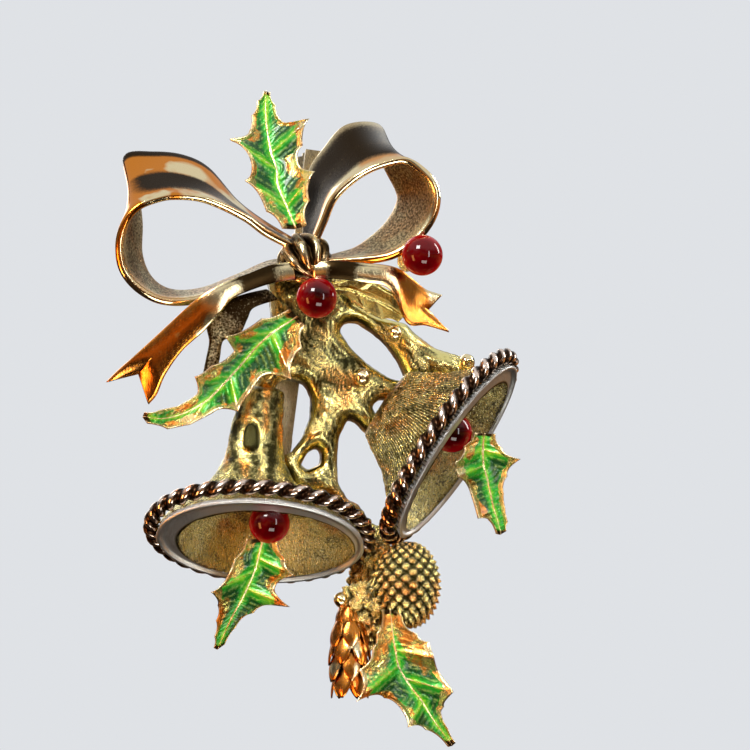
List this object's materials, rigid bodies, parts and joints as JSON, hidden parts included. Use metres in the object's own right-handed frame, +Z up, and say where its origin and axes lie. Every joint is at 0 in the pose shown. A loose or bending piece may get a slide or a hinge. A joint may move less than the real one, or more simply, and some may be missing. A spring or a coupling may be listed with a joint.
{
  "type": "christmas bell brooch",
  "caption": "Gold-tone brooch with a ribbon bow, bells, enamelled holly, red beads and pine cones on a twig frame, with a hinged pin and safety catch.",
  "frame": {"origin": "on the flat rear face of the pin bar, on its centre line at the height of the knot's lower side", "axes": "+Z up towards the bow, -Y the decorated front, +Y the rear where the pin is, +X to the viewer's right"},
  "size_m": [0.0417, 0.018, 0.0662],
  "materials": {
    "gold_bright": "polished gold-tone plate",
    "gold_grained": "grained gold-tone plate",
    "gold_rope": "polished gold-tone plate, darker",
    "green_enamel": "glossy translucent enamel",
    "red_bead": "glossy deep red glass",
    "pin_metal": "satin gold-tone plate"
  },
  "bodies": {
    "brooch": {"twig_frame": "gold_grained", "gold_cluster": "gold_grained", "cone_round": "gold_grained", "cone_long": "gold_bright", "bell_left": "gold_grained", "bell_right": "gold_grained", "rope_rim_left": "gold_rope", "rope_rim_right": "gold_rope", "plain_leaf": "gold_grained", "peg_knot": "gold_grained", "peg_loop": "gold_grained", "peg_clapper_left": "gold_grained", "peg_clapper_right": "gold_grained", "bow_knot": "gold_bright", "bow_loop_left": "gold_bright", "bow_loop_right": "gold_bright", "ribbon_tail_left": "gold_bright", "ribbon_tail_right": "gold_bright", "ribbon_fold_rear": "gold_bright", "holly_top": "gold_bright", "holly_mid_left": "gold_bright", "holly_bell_left": "gold_bright", "holly_bell_right": "gold_bright", "holly_bottom": "gold_bright", "enamel_top": "green_enamel", "enamel_mid_left": "green_enamel", "enamel_bell_left": "green_enamel", "enamel_bell_right": "green_enamel", "enamel_bottom": "green_enamel", "berry_frame": "gold_bright", "berry_leaf": "gold_bright", "berry_bell": "gold_bright", "berry_cone": "gold_bright", "bead_knot": "red_bead", "bead_loop": "red_bead", "bead_clapper_left": "red_bead", "bead_clapper_right": "red_bead", "pin_bar": "pin_metal", "hinge_bracket": "pin_metal", "hinge_rivet": "pin_metal", "catch_base": "pin_metal"},
    "pin": {"pin_stem": "pin_metal"},
    "sleeve": {"catch_sleeve": "pin_metal"}
  },
  "joints": [
    {"name": "pin_hinge", "type": "hinge", "parent": "brooch", "child": "pin", "pos_m": [-0.00196, 0.0032, -0.01548], "axis": [-0.9921, 0, 0.1253], "range_deg": [0, 95]},
    {"name": "sleeve_roll", "type": "hinge", "parent": "brooch", "child": "sleeve", "pos_m": [0.00158, 0.0032, 0.0125], "axis": [0.1253, 0, 0.9921], "range_deg": [0, 120]}
  ]
}
